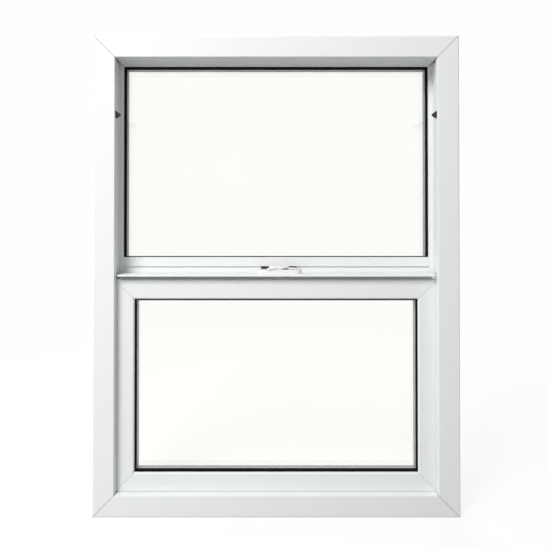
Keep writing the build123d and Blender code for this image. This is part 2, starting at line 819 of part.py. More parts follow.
with BuildPart() as lock_base:
    with BuildSketch(Plane.XY.offset(lift_top_z)):
        with Locations((lock_offset, lock_y)):
            SlotOverall(lock_length, lock_width)
    extrude(amount=lock_height)
    fillet(lock_base.faces().sort_by(Axis.Z)[-1].edges(), lock_round)
    for hole_x in screw_x:
        hole_head = lock_screw_head + screw_play
        hole_top = (hole_x, lock_y, lock_top_z)
        countersunk(hole_top, lock_screw_hole, hole_head, lock_height + overrun, Mode.SUBTRACT)
    pivot_foot = (lock_offset, lock_y, lift_top_z)
    rod(spindle_radius + spindle_play, pivot_foot, 2 * (lock_height + overrun), ALONG_Z, Mode.SUBTRACT)
    rod(rivet_radius + spindle_play, pivot_foot, 2 * rivet_recess, ALONG_Z, Mode.SUBTRACT)
keep(lock_base, "lock_base")

with BuildPart() as lock_screws:
    for head_x in screw_x:
        countersunk((head_x, lock_y, lock_top_z), lock_screw_radius, lock_screw_head, lock_screw_length)
keep(lock_screws, "lock_screws")

# The cam points along the rail while the lever is open, and back into the groove once it is turned
cam_angle = 90 + cam_turn
tongue_centres = cam_reach - cam_width / 2
with BuildPart() as lock_cam:
    with BuildSketch(Plane.XY.offset(cam_z)):
        with Locations((lock_offset, lock_y)):
            Circle(cam_radius)
        tongue_x = lock_offset + tongue_centres / 2 * math.cos(math.radians(cam_angle))
        tongue_y = lock_y + tongue_centres / 2 * math.sin(math.radians(cam_angle))
        with Locations((tongue_x, tongue_y)):
            SlotCenterToCenter(tongue_centres, cam_width, rotation=cam_angle)
    extrude(amount=cam_thickness)
    rivet_low_z = lift_top_z + rivet_recess - spindle_play - rivet_height
    rod(spindle_radius, (lock_offset, lock_y, (rivet_low_z + cam_z) / 2), cam_z - rivet_low_z, ALONG_Z)
    rod(rivet_radius, (lock_offset, lock_y, rivet_low_z + rivet_height / 2), rivet_height, ALONG_Z)
keep(lock_cam, "lock_cam")

lever_low_z = lock_top_z + lever_play
lever_top_z = cam_top_z + lever_height
with BuildPart() as lever_arm:
    with BuildSketch(Plane.XZ.offset(-lock_y)):
        step_x = lock_offset + cam_radius + lever_play
        end_x = lock_offset + lever_length
        Polygon(
            (lock_offset, cam_top_z),
            (step_x, cam_top_z),
            (step_x, lever_low_z),
            (end_x, lever_low_z),
            (end_x, lever_low_z + lever_tip_height),
            (lock_offset + lever_boss_length / 2, lever_top_z - lever_round - lever_drop),
            (lock_offset, lever_top_z - lever_round - lever_drop),
        )
    extrude(amount=lever_root, both=True)
    with BuildSketch(Plane.XY.offset(lever_low_z - overrun)) as lever_plan:
        Polygon(
            (lock_offset, lock_y - lever_root / 2),
            (end_x, lock_y - lever_tip / 2),
            (end_x, lock_y + lever_tip / 2),
            (lock_offset, lock_y + lever_root / 2),
        )
        tip_corners = lever_plan.vertices().sort_by(Axis.X)[-2:]
        fillet(tip_corners, lever_tip / 2 - lever_round)
    extrude(amount=lever_top_z - lever_low_z + 2 * overrun, mode=Mode.INTERSECT)
with BuildPart() as lock_lever:
    with BuildSketch(Plane.XY.offset(cam_top_z)):
        with Locations((lock_offset, lock_y)):
            SlotOverall(lever_boss_length, lever_boss_width)
    extrude(amount=lever_height)
    fillet(lock_lever.faces().sort_by(Axis.Z)[-1].edges(), lever_round)
    add(lever_arm.part)
keep(lock_lever, "lock_lever")
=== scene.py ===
import json
import math

import bmesh
import bpy
from bpy.props import FloatProperty, FloatVectorProperty, IntProperty, PointerProperty
from mathutils import Matrix, Vector

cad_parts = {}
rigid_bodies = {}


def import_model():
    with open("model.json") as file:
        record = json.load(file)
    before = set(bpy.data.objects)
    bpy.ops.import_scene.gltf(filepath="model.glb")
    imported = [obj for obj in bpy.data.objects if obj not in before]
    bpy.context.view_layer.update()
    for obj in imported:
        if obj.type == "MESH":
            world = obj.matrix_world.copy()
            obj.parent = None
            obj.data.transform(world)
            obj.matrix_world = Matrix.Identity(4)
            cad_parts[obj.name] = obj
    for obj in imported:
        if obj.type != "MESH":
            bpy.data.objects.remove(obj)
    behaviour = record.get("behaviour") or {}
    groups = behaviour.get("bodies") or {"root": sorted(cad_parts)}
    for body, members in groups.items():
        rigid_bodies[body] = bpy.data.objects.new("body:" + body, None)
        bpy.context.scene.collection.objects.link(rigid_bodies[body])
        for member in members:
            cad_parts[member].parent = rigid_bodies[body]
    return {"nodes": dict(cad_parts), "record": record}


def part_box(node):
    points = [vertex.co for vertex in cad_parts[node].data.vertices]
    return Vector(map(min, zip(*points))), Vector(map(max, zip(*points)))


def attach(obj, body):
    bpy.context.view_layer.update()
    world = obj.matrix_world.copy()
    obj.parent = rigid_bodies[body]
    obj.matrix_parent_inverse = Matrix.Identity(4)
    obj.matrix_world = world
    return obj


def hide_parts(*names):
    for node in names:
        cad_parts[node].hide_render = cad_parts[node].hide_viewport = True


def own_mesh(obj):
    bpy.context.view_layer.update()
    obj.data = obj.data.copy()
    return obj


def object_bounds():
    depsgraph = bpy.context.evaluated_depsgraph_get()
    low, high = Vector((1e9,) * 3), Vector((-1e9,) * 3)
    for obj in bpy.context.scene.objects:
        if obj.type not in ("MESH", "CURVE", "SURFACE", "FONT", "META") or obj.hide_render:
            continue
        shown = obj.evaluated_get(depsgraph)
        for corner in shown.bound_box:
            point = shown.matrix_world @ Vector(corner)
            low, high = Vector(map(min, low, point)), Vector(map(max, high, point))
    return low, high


bl_info = {
    "name": "Single-Hung Window",
    "version": (1, 0, 0),
    "blender": (4, 5, 0),
    "location": "View3D > Sidebar > Window",
    "description": "Finishes a white vinyl single-hung window and sets it in a plain studio",
    "category": "Object",
}

for leftover in list(bpy.data.objects):
    bpy.data.objects.remove(leftover)
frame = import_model()
cad_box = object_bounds()

body_of = {}
for body_name, members in frame["record"]["behaviour"]["bodies"].items():
    for member in members:
        body_of[member] = body_name


# Sizes and colours


def colour_setting(name, description, default):
    """A colour that a user can change."""
    return FloatVectorProperty(
        name=name, description=description, subtype="COLOR", size=3, default=default, min=0, max=1,
    )


def length_setting(name, description, default, most, least=0.0):
    """A length that a user can change."""
    return FloatProperty(
        name=name, description=description, unit="LENGTH", default=default, min=least, soft_max=most,
    )


def place_setting(name, description, default):
    """A place that a user can change."""
    return FloatVectorProperty(
        name=name, description=description, subtype="TRANSLATION", size=3, default=default,
    )


def power_setting(name, description, default):
    """The power of a lamp."""
    return FloatProperty(name=name, description=description, unit="POWER", default=default, min=0)


def share_setting(name, description, default):
    """A share from none to all."""
    return FloatProperty(
        name=name, description=description, subtype="FACTOR", default=default, min=0, max=1,
    )


class WindowFinish(bpy.types.PropertyGroup):
    """Colours and surface sizes of the window."""

    vinyl: colour_setting("Vinyl", "Colour of the white bars", (0.846, 0.868, 0.866))
    vinyl_shade: colour_setting("Vinyl shade", "Slightly darker clouds in the vinyl", (0.796, 0.818, 0.816))
    seam: colour_setting("Weld line", "Colour of the trimmed weld at a mitre", (0.45, 0.45, 0.44))
    glass: colour_setting("Glass", "Tint of the panes", (0.994, 0.999, 0.991))
    gasket: colour_setting("Gasket", "Colour of the black glazing rubber", (0.004, 0.004, 0.0045))
    spacer: colour_setting("Spacer", "Colour of the bar between the panes", (0.44, 0.45, 0.46))
    tape: colour_setting("Tape", "Colour of the glazing tape", (0.09, 0.09, 0.092))
    block: colour_setting("Setting block", "Colour of the blocks under the glass", (0.16, 0.16, 0.165))
    seal: colour_setting("Sill seal", "Colour of the bulb seal under the sash", (0.6, 0.6, 0.59))
    stop: colour_setting("Stop", "Colour of the sash stops", (0.03, 0.031, 0.033))
    enamel: colour_setting("Enamel", "Colour of the painted lock", (0.83, 0.835, 0.83))
    steel: colour_setting("Steel", "Colour of bare metal", (0.56, 0.57, 0.58))
    alloy: colour_setting("Alloy", "Colour of the stiffeners", (0.68, 0.69, 0.7))
    balance: colour_setting("Balance", "Colour of the balances' plastic", (0.2, 0.205, 0.215))
    pile: colour_setting("Pile", "Colour of the weather pile", (0.5, 0.51, 0.52))
    bar_edge: length_setting("Bar edge", "Rounding along the edges of the bars", 0.0004, 0.002)
    bead_edge: length_setting("Bead edge", "Rounding along the edges of the thin strips", 0.00025, 0.001)
    lock_edge: length_setting("Lock edge", "Rounding along the edges of the lock", 0.0005, 0.002)
    seal_edge: length_setting("Seal edge", "Rounding along the edges of the bulb seal", 0.0012, 0.003)
    seam_width: length_setting("Weld width", "Width of the weld line at a mitre", 0.0015, 0.004)
    sash_weld: share_setting("Sash weld", "How far the weld lines of the sash show", 0.5)


class WindowDetail(bpy.types.PropertyGroup):
    """Sizes of the small pieces that repeat."""

    tuft_density: FloatProperty(
        name="Tuft density", description="Tufts of pile on a square metre", default=700000, min=0,
    )
    tuft_radius: length_setting("Tuft radius", "Radius of a tuft at its root", 0.0005, 0.002)
    pile_backing: length_setting(
        "Pile backing", "Thickness of the strip that the pile stands on", 0.0012, 0.003,
    )
    recess_width: length_setting("Recess width", "Width of the cross in a screw's head", 0.0011, 0.003)
    recess_depth: length_setting("Recess depth", "Depth of the cross in a screw's head", 0.0012, 0.003)
    rail_head: length_setting("Rail screw head", "Height of the head of a rail screw", 0.0024, 0.005)
    rail_shank: length_setting("Rail screw shank", "Radius of the shank of a rail screw", 0.0021, 0.005)
    balance_head: length_setting(
        "Balance screw head", "Height of the head of a balance screw", 0.0018, 0.005,
    )
    balance_shank: length_setting(
        "Balance screw shank", "Radius of the shank of a balance screw", 0.0018, 0.005,
    )
    slot_pitch: length_setting(
        "Slot pitch", "Step of the breathing slots in a spacer bar", 0.004, 0.02, least=0.001,
    )
    slot_length: length_setting("Slot length", "Length of a breathing slot", 0.0016, 0.01)
    slot_width: length_setting("Slot width", "Width of a breathing slot", 0.0005, 0.002)
    sealant_line: length_setting(
        "Sealant line", "Width of the dark sealant line along the back of a spacer bar", 0.0028, 0.006,
    )
    coil_turns: FloatProperty(
        name="Coil turns", description="Turns of spring ribbon on a balance", default=12, min=1,
    )
    ribbon_thickness: length_setting(
        "Ribbon thickness", "Thickness of the spring ribbon", 0.0003, 0.001, least=0.0001,
    )
    seed: IntProperty(name="Seed", description="Seed of everything that varies by chance", default=7, min=0)


class WindowStage(bpy.types.PropertyGroup):
    """Camera, lamps and floor."""

    camera_place: place_setting("Camera", "Where the camera stands", (-0.008, -1.0415, 0.4886))
    camera_turn: FloatVectorProperty(
        name="Camera turn", description="How the camera is turned", subtype="EULER", size=3,
        default=(math.radians(90.6), 0.0, 0.0),
    )
    lens: FloatProperty(
        name="Lens", description="Focal length in millimetres", unit="CAMERA", default=39.4, min=1,
    )
    sensor: FloatProperty(
        name="Sensor", description="Width of the sensor in millimetres", unit="CAMERA", default=36, min=1,
    )
    shift: FloatVectorProperty(
        name="Shift", description="Shift of the lens", size=2, default=(0.0065, -0.1075),
    )
    nearest: length_setting("Nearest", "Nearest distance that the camera sees", 0.01, 0.1, least=0.001)
    key_place: place_setting("Key lamp", "Where the key lamp hangs", (-1.0, -1.725, 2.07))
    key_aim: place_setting("Key aim", "Where the key lamp points", (-0.45, 0.0, 0.4))
    key_size: length_setting("Key size", "Side of the key lamp", 1.0, 3.0, least=0.01)
    key_spread: FloatProperty(
        name="Key spread", description="How wide the key lamp throws its light", subtype="ANGLE",
        default=math.radians(120), min=math.radians(1), max=math.radians(180),
    )
    key_power: power_setting("Key power", "Power of the key lamp", 25.9)
    side_place: place_setting("Side lamp", "Where the side lamp stands", (-2.2, -0.22, 0.75))
    side_size: length_setting("Side size", "Side of the side lamp", 0.5, 3.0, least=0.01)
    side_power: power_setting("Side power", "Power of the side lamp", 12)
    back_place: place_setting("Back lamp", "Where the lamp behind the window stands", (0.15, 2.1, 1.6))
    back_size: length_setting("Back size", "Side of the lamp behind the window", 1.0, 3.0, least=0.01)
    back_power: power_setting("Back power", "Power of the lamp behind the window", 28)
    ambient: FloatProperty(
        name="Ambient", description="Strength of the light from all round", default=0.415, min=0,
    )
    sky: colour_setting("Soft light", "Colour of the light from all round", (1.0, 0.995, 0.94))
    backdrop: colour_setting("Backdrop", "White that the camera sees", (0.992, 0.992, 0.978))
    floor_half: length_setting("Floor half", "Half of the floor's side", 12, 50)
    floor_bounce: colour_setting("Floor bounce", "Floor colour that lights the window", (0.44, 0.44, 0.436))
    floor_tone: colour_setting("Floor tone", "Floor colour that takes the shadow in view", (0.95, 0.95, 0.94))
    floor_white: share_setting(
        "Floor white", "How far the floor at the window keeps to plain white in view", 0.82,
    )
    floor_near: length_setting(
        "Floor near", "Distance from the window at which the floor starts to clear", 0.5, 5,
    )
    floor_far: length_setting(
        "Floor far", "Distance from the window at which the floor is plain white in view", 2.2, 10,
    )


# Helpers for nodes


def feed(tree, node, inputs):
    """Sets a node's inputs, which are values or the sockets that feed them."""
    for key, value in inputs.items():
        if isinstance(value, bpy.types.NodeSocket):
            tree.links.new(value, node.inputs[key])
        else:
            node.inputs[key].default_value = value


def place(tree, kind, inputs=None, **settings):
    """One node with its settings and its inputs."""
    node = tree.nodes.new(kind)
    for key, value in settings.items():
        setattr(node, key, value)
    feed(tree, node, inputs or {})
    return node


def maths(tree, operation, *values, clamp=False):
    """The output of a Math node."""
    node = place(tree, "ShaderNodeMath", dict(enumerate(values)), operation=operation, use_clamp=clamp)
    return node.outputs[0]


def scaled(tree, value, factor):
    """A value times a factor."""
    return maths(tree, "MULTIPLY", value, factor)


def varied(tree, value, pattern, amount, middle=0.5):
    """A value that a pattern raises and lowers."""
    return maths(tree, "MULTIPLY_ADD", maths(tree, "SUBTRACT", pattern, middle), amount, value)


def vector_of(tree, x, y, z):
    """The output of a Combine XYZ node."""
    return place(tree, "ShaderNodeCombineXYZ", {"X": x, "Y": y, "Z": z}).outputs[0]


def object_spot(tree):
    """Where a point lies on its object."""
    return place(tree, "ShaderNodeTexCoord").outputs["Object"]


def stretched(tree, spot, stretch):
    """A place drawn out along one axis."""
    return place(tree, "ShaderNodeVectorMath", {0: spot, 1: stretch}, operation="MULTIPLY").outputs[0]


def noise(tree, spot, scale, detail, roughness=0.5, distortion=0.0):
    """The value of a noise pattern."""
    inputs = {"Vector": spot, "Scale": scale, "Detail": detail}
    inputs.update({"Roughness": roughness, "Distortion": distortion})
    return place(tree, "ShaderNodeTexNoise", inputs).outputs["Fac"]


def remapped(tree, value, source, target, interpolation):
    """A value carried from one span to another."""
    inputs = {"Value": value, "From Min": source[0], "From Max": source[1]}
    inputs.update({"To Min": target[0], "To Max": target[1]})
    node = place(tree, "ShaderNodeMapRange", inputs, interpolation_type=interpolation)
    return node.outputs["Result"]


def blend_colour(tree, factor, first, second):
    """The output of a colour mix."""
    node = place(tree, "ShaderNodeMix", data_type="RGBA")
    socket_at = {socket.identifier: index for index, socket in enumerate(node.inputs)}
    values = {"Factor_Float": factor, "A_Color": first, "B_Color": second}
    feed(tree, node, {socket_at[key]: value for key, value in values.items()})
    return next(socket for socket in node.outputs if socket.identifier == "Result_Color")


def in_view(tree, first_bounce=0.5):
    """1 for what the camera sees, also in gloss and through glass, and 0 for the light on the window."""
    rays = place(tree, "ShaderNodeLightPath").outputs
    seen = maths(tree, "MAXIMUM", rays["Is Camera Ray"], rays["Is Glossy Ray"])
    seen = maths(tree, "MAXIMUM", seen, rays["Is Transmission Ray"])
    return maths(tree, "MULTIPLY", seen, maths(tree, "LESS_THAN", rays["Diffuse Depth"], first_bounce))


def opaque(colour):
    """A colour with full alpha."""
    return (*colour, 1.0)


def socket_kind(default):
    """The type of socket that holds a default."""
    if isinstance(default, tuple):
        return {3: "NodeSocketVector", 4: "NodeSocketColor"}[len(default)]
    return "NodeSocketInt" if isinstance(default, int) else "NodeSocketFloat"


def add_inputs(tree, inputs):
    """Named inputs of a tree, each with its default."""
    for name, default in inputs.items():
        socket = tree.interface.new_socket(name=name, in_out="INPUT", socket_type=socket_kind(default))
        socket.default_value = default


def open_group(tree, inputs, outputs):
    """The named sockets of a shader group: what it is given and the node where it ends."""
    add_inputs(tree, inputs)
    for name, kind in outputs.items():
        tree.interface.new_socket(name=name, in_out="OUTPUT", socket_type=kind)
    return place(tree, "NodeGroupInput").outputs, place(tree, "NodeGroupOutput")


# Effects that more than one material uses

surface_outputs = {"Colour": "NodeSocketColor", "Roughness": "NodeSocketFloat", "Height": "NodeSocketFloat"}
pale, shade = (0.8, 0.8, 0.8, 1.0), (0.7, 0.7, 0.7, 1.0)
unstretched = (1.0, 1.0, 1.0)


def extruded_surface(tree):
    """Faint die lines along a bar and soft clouds in its colour."""
    line_scale, cloud_scale, speck_scale = 620, 5, 1500
    line_share, cloud_share = 0.35, 0.65
    gloss_change, speck_height = 0.1, 0.3
    given, end = open_group(
        tree,
        {"Colour": pale, "Shade": shade, "Stretch": unstretched, "Roughness": 0.4},
        surface_outputs,
    )
    spot = object_spot(tree)
    lines = noise(tree, stretched(tree, spot, given["Stretch"]), line_scale, detail=2, roughness=0.6)
    clouds = noise(tree, spot, cloud_scale, detail=3)
    specks = noise(tree, spot, speck_scale, detail=1)
    amount = maths(tree, "MULTIPLY_ADD", lines, line_share, scaled(tree, clouds, cloud_share), clamp=True)
    outcome = {
        "Colour": blend_colour(tree, amount, given["Colour"], given["Shade"]),
        "Roughness": varied(tree, given["Roughness"], lines, gloss_change),
        "Height": maths(tree, "MULTIPLY_ADD", specks, speck_height, lines),
    }
    feed(tree, end, outcome)


def mitre_weld(tree):
    """Mask of the trimmed welds at the four mitres of a rectangle of bars."""
    wander_scale, least_share = 160, 0.5
    given, end = open_group(
        tree,
        {"Half width": 0.3, "Low": 0.0, "High": 0.8, "Weld width": 0.001},
        {"Mask": "NodeSocketFloat"},
    )
    spot = object_spot(tree)
    axes = place(tree, "ShaderNodeSeparateXYZ", {0: spot}).outputs
    across = maths(tree, "SUBTRACT", given["Half width"], maths(tree, "ABSOLUTE", axes["X"]))
    below = maths(tree, "SUBTRACT", given["High"], axes["Z"])
    above = maths(tree, "SUBTRACT", axes["Z"], given["Low"])
    along = maths(tree, "MINIMUM", below, above)
    gap = maths(tree, "ABSOLUTE", maths(tree, "SUBTRACT", across, along))
    wander = noise(tree, spot, wander_scale, detail=2)
    edge = maths(tree, "MULTIPLY", given["Weld width"], maths(tree, "ADD", wander, least_share))
    feed(tree, end, {"Mask": remapped(tree, gap, (0.0, edge), (1.0, 0.0), "SMOOTHSTEP")})


def moulded_surface(tree):
    """Fine moulded or painted texture with soft clouds in colour and gloss."""
    cloud_scale, grain_share, cloud_share, gloss_change = 35, 0.5, 0.5, 0.25
    given, end = open_group(
        tree,
        {"Colour": pale, "Shade": shade, "Grain": 900.0, "Roughness": 0.4},
        surface_outputs,
    )
    spot = object_spot(tree)
    grain = noise(tree, spot, given["Grain"], detail=2)
    clouds = noise(tree, spot, cloud_scale, detail=3)
    amount = maths(tree, "MULTIPLY_ADD", grain, grain_share, scaled(tree, clouds, cloud_share), clamp=True)
    outcome = {
        "Colour": blend_colour(tree, amount, given["Colour"], given["Shade"]),
        "Roughness": varied(tree, given["Roughness"], clouds, gloss_change),
        "Height": grain,
    }
    feed(tree, end, outcome)


def rolled_metal(tree):
    """Metal drawn or rolled in one direction."""
    line_scale, cloud_scale = 1400, 90
    darkest, line_change, gloss_change = 0.75, 0.5, 0.3
    given, end = open_group(
        tree, {"Colour": pale, "Stretch": unstretched, "Roughness": 0.35}, surface_outputs,
    )
    spot = object_spot(tree)
    lines = noise(tree, stretched(tree, spot, given["Stretch"]), line_scale, detail=3)
    clouds = noise(tree, spot, cloud_scale, detail=2)
    dullness = maths(tree, "MULTIPLY_ADD", lines, line_change, darkest)
    dull = place(tree, "ShaderNodeHueSaturation", {"Color": given["Colour"], "Value": dullness})
    outcome = {
        "Colour": dull.outputs[0],
        "Roughness": varied(tree, given["Roughness"], clouds, gloss_change),
        "Height": lines,
    }
    feed(tree, end, outcome)


# Materials

glass_ior = vinyl_ior = 1.5
# A pattern that is shrunk to this share along a bar has long lines there
drawn = 0.012
level_grain, upright_grain = (drawn, 1, 1), (1, 1, drawn)


def new_material(name, constants=None):
    """A material with a shader that has plain values on its own sockets."""
    material = bpy.data.materials.new(name)
    material.use_nodes = True
    tree = material.node_tree
    tree.nodes.clear()
    shader = place(tree, "ShaderNodeBsdfPrincipled", constants)
    place(tree, "ShaderNodeOutputMaterial", {"Surface": shader.outputs[0]}, name="Output")
    return material, tree, shader


def end_in_mix(tree, factor, first, second):
    """Ends a material or a world in a mix of two shaders."""
    mix = place(tree, "ShaderNodeMixShader", {0: factor, 1: first.outputs[0], 2: second.outputs[0]})
    feed(tree, tree.nodes["Output"], {"Surface": mix.outputs[0]})


def group_node(tree, name, build, inputs):
    """A node group that is built at its first use, placed in a material with its own values."""
    if name not in bpy.data.node_groups:
        build(bpy.data.node_groups.new(name, "ShaderNodeTree"))
    return place(tree, "ShaderNodeGroup", inputs, node_tree=bpy.data.node_groups[name])


def surface(tree, shader, group, strength, distance):
    """Feeds a shader's colour, gloss and relief from a surface group."""
    relief = {"Height": group.outputs["Height"], "Strength": strength, "Distance": distance}
    bump = place(tree, "ShaderNodeBump", relief).outputs[0]
    feed(tree, shader, {"Base Color": group.outputs["Colour"], "Normal": bump})
    feed(tree, shader, {"Roughness": group.outputs["Roughness"]})
    return bump


def vinyl_material(name, stretch, mitres=None):
    """White vinyl drawn along one axis, with weld lines at the mitres of a rectangle."""
    finish = bpy.context.scene.window_finish
    material, tree, shader = new_material(name, {"IOR": vinyl_ior, "Specular IOR Level": 0.32})
    colours = {"Colour": opaque(finish.vinyl), "Shade": opaque(finish.vinyl_shade)}
    group = group_node(
        tree, "Extruded surface", extruded_surface, {**colours, "Stretch": stretch, "Roughness": 0.46},
    )
    bump = surface(tree, shader, group, strength=0.06, distance=0.0001)
    if mitres:
        half, low, high, show = mitres
        weld = group_node(
            tree,
            "Mitre weld",
            mitre_weld,
            {"Half width": half, "Low": low, "High": high, "Weld width": finish.seam_width},
        )
        mask = scaled(tree, weld.outputs["Mask"], show)
        colour = blend_colour(tree, mask, group.outputs["Colour"], opaque(finish.seam))
        trough = {"Height": mask, "Strength": 0.6, "Distance": 0.0003, "Normal": bump}
        groove = place(tree, "ShaderNodeBump", trough, invert=True)
        feed(tree, shader, {"Base Color": colour, "Normal": groove.outputs[0]})
    return material


def glass_material():
    """Clear float glass with faint wipe marks; lamps and soft light shine through it."""
    wipe_scale, mist_share = 7, 0.992
    wiped, haze = (0.45, 0.9), (0.0, 0.02)
    finish = bpy.context.scene.window_finish
    material, tree, shader = new_material("Float glass", {"Transmission Weight": 1.0, "IOR": glass_ior})
    wipes = noise(tree, object_spot(tree), wipe_scale, detail=4, distortion=1.5)
    clear = opaque(finish.glass)
    misty = opaque([value * mist_share for value in finish.glass])
    tint = blend_colour(tree, wipes, clear, misty)
    feed(tree, shader, {"Base Color": tint, "Roughness": remapped(tree, wipes, wiped, haze, "LINEAR")})
    through = place(tree, "ShaderNodeBsdfTransparent", {"Color": clear})
    rays = place(tree, "ShaderNodeLightPath").outputs
    lit = maths(tree, "MAXIMUM", rays["Is Shadow Ray"], rays["Is Diffuse Ray"])
    end_in_mix(tree, lit, shader, through)
    return material


def moulded_material(name, colour, roughness, grain, relief=0.0001, darker=0.75, specular=0.4):
    """Moulded plastic, rubber or paint."""
    material, tree, shader = new_material(name, {"Specular IOR Level": specular})
    colours = {"Colour": opaque(colour), "Shade": opaque([value * darker for value in colour])}
    group = group_node(
        tree, "Moulded surface", moulded_surface, {**colours, "Grain": grain, "Roughness": roughness},
    )
    surface(tree, shader, group, strength=0.2, distance=relief)
    return material


def metal_material(name, colour, stretch, roughness):
    """Bare metal drawn in one direction."""
    material, tree, shader = new_material(name, {"Metallic": 1.0})
    group = group_node(
        tree,
        "Rolled metal",
        rolled_metal,
        {"Colour": opaque(colour), "Stretch": stretch, "Roughness": roughness},
    )
    surface(tree, shader, group, strength=0.15, distance=0.00005)
    return material


def spacer_material(name, front, back):
    """Satin spacer bar with a row of breathing slots painted dark as painted shade where no opening is cut,
    and a dark line of sealant along its back edge.
    """
    upward, dark_share, metal_share = 0.7, 0.1, 0.35
    finish = bpy.context.scene.window_finish
    detail = bpy.context.scene.window_detail
    material, tree, shader = new_material(name, {"Specular IOR Level": 0.15})
    group = group_node(
        tree,
        "Rolled metal",
        rolled_metal,
        {"Colour": opaque(finish.spacer), "Stretch": (0.2, 1.0, 0.2), "Roughness": 0.45},
    )
    surface(tree, shader, group, strength=0.1, distance=0.00005)
    where = place(tree, "ShaderNodeTexCoord").outputs
    axes = place(tree, "ShaderNodeSeparateXYZ", {0: where["Object"]}).outputs
    facing = place(tree, "ShaderNodeSeparateXYZ", {0: where["Normal"]}).outputs
    level = maths(tree, "GREATER_THAN", maths(tree, "ABSOLUTE", facing["Z"]), upward)
    upright = maths(tree, "SUBTRACT", 1.0, level)
    run = maths(tree, "MULTIPLY_ADD", axes["X"], level, maths(tree, "MULTIPLY", axes["Z"], upright))
    step = maths(tree, "PINGPONG", run, detail.slot_pitch / 2)
    along = maths(tree, "LESS_THAN", step, detail.slot_length / 2)
    off = maths(tree, "ABSOLUTE", maths(tree, "SUBTRACT", axes["Y"], (front + back) / 2))
    across = maths(tree, "LESS_THAN", off, detail.slot_width / 2)
    # The breathing slots are painted shade: dark marks on the solid bar where the openings are not cut
    slot = maths(tree, "MULTIPLY", along, across)
    line = maths(tree, "GREATER_THAN", axes["Y"], back - detail.sealant_line)
    # One mask for the painted shade of the slots and for the real dark sealant line; both take the same dark
    # colour
    slot_shade_and_sealant = maths(tree, "MAXIMUM", slot, line)
    dark = opaque([value * dark_share for value in finish.spacer])
    colour = blend_colour(tree, slot_shade_and_sealant, group.outputs["Colour"], dark)
    metal = scaled(tree, maths(tree, "SUBTRACT", 1.0, slot_shade_and_sealant), metal_share)
    feed(tree, shader, {"Base Color": colour, "Metallic": metal})
    return material


# Helpers for pieces

merge_gap = 2e-6
flat_angle, edge_angle, shading_angle = math.radians(0.5), math.radians(35), math.radians(50)
one_point = [((0, 0, 0), (0, 0, 1))]


def paint(obj, material):
    """Gives an object one material."""
    obj.data.materials.clear()
    obj.data.materials.append(material)


def dress(nodes, material):
    """Gives CAD nodes a finish and leaves their shape as it is."""
    for node in nodes:
        paint(frame["nodes"][node], material)


def piece(name, mesh, node, material):
    """A finished mesh that stands for a CAD node and moves with its body."""
    obj = bpy.data.objects.new(name, mesh)
    bpy.context.scene.collection.objects.link(obj)
    paint(obj, material)
    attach(obj, body_of[node])
    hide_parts(node)
    return obj


def softened(node, width, material, segments=2):
    """A copy of a CAD node with its edges slightly rounded."""
    shape = bmesh.new()
    shape.from_mesh(frame["nodes"][node].data)
    bmesh.ops.remove_doubles(shape, verts=shape.verts, dist=merge_gap)
    bmesh.ops.dissolve_limit(shape, angle_limit=flat_angle, verts=shape.verts, edges=shape.edges)
    sharp = [edge for edge in shape.edges if edge.is_manifold and edge.calc_face_angle(0) > edge_angle]
    bmesh.ops.bevel(
        shape, geom=sharp, offset=width, offset_type="OFFSET", segments=segments, profile=0.5,
        affect="EDGES", clamp_overlap=True,
    )
    for face in shape.faces:
        face.smooth = True
    mesh = bpy.data.meshes.new(f"{node}_soft")
    shape.to_mesh(mesh)
    shape.free()
    mesh.set_sharp_from_angle(angle=shading_angle)
    obj = piece(f"{node}_soft", mesh, node, material)
    weigh = obj.modifiers.new("Weighted normals", "WEIGHTED_NORMAL")
    weigh.keep_sharp = True


def grown(name, tree, points, values):
    """Runs a geometry tree on an object of loose points and returns the plain mesh that it makes."""
    seed_mesh = bpy.data.meshes.new(f"{name}_points")
    seed_mesh.from_pydata([point for point, aim in points], [], [])
    aims = seed_mesh.attributes.new("aim", "FLOAT_VECTOR", "POINT")
    for item, (point, aim) in zip(aims.data, points):
        item.vector = aim
    holder = bpy.data.objects.new(f"{name}_holder", seed_mesh)
    bpy.context.scene.collection.objects.link(holder)
    modifier = holder.modifiers.new("Shape", "NODES")
    modifier.node_group = tree
    for item in tree.interface.items_tree:
        if item.item_type == "SOCKET" and item.in_out == "INPUT" and item.name in values:
            modifier[item.identifier] = values[item.name]
    bpy.context.view_layer.update()
    evaluated = holder.evaluated_get(bpy.context.evaluated_depsgraph_get())
    mesh = bpy.data.meshes.new_from_object(evaluated)
    mesh.name = name
    holder.modifiers.clear()
    bpy.data.objects.remove(holder)
    if not mesh.polygons:
        raise RuntimeError(f"{name} came out empty")
    return mesh


# Geometry trees


def geometry_tree(name, inputs):
    """An empty geometry tree with its points, sizes and material as named inputs."""
    tree = bpy.data.node_groups.new(name, "GeometryNodeTree")
    for side in ("OUTPUT", "INPUT"):
        tree.interface.new_socket(name="Geometry", in_out=side, socket_type="NodeSocketGeometry")
    add_inputs(tree, inputs)
    tree.interface.new_socket(name="Material", in_out="INPUT", socket_type="NodeSocketMaterial")
    return tree, place(tree, "NodeGroupInput").outputs, place(tree, "NodeGroupOutput")


def close_tree(tree, given, end, geometry):
    """Ends a geometry tree with plain geometry in one material."""
    plain = place(tree, "GeometryNodeRealizeInstances", {"Geometry": geometry}).outputs[0]
    finish = {"Geometry": plain, "Material": given["Material"]}
    feed(tree, end, {"Geometry": place(tree, "GeometryNodeSetMaterial", finish).outputs[0]})


def block(tree, x, y, z):
    """A block of three sizes."""
    return place(tree, "GeometryNodeMeshCube", {"Size": vector_of(tree, x, y, z)}).outputs["Mesh"]


def cone(tree, vertices, top, bottom, depth):
    """A cone that stands on its bottom."""
    inputs = {"Vertices": vertices, "Radius Top": top, "Radius Bottom": bottom, "Depth": depth}
    return place(tree, "GeometryNodeMeshCone", inputs).outputs["Mesh"]


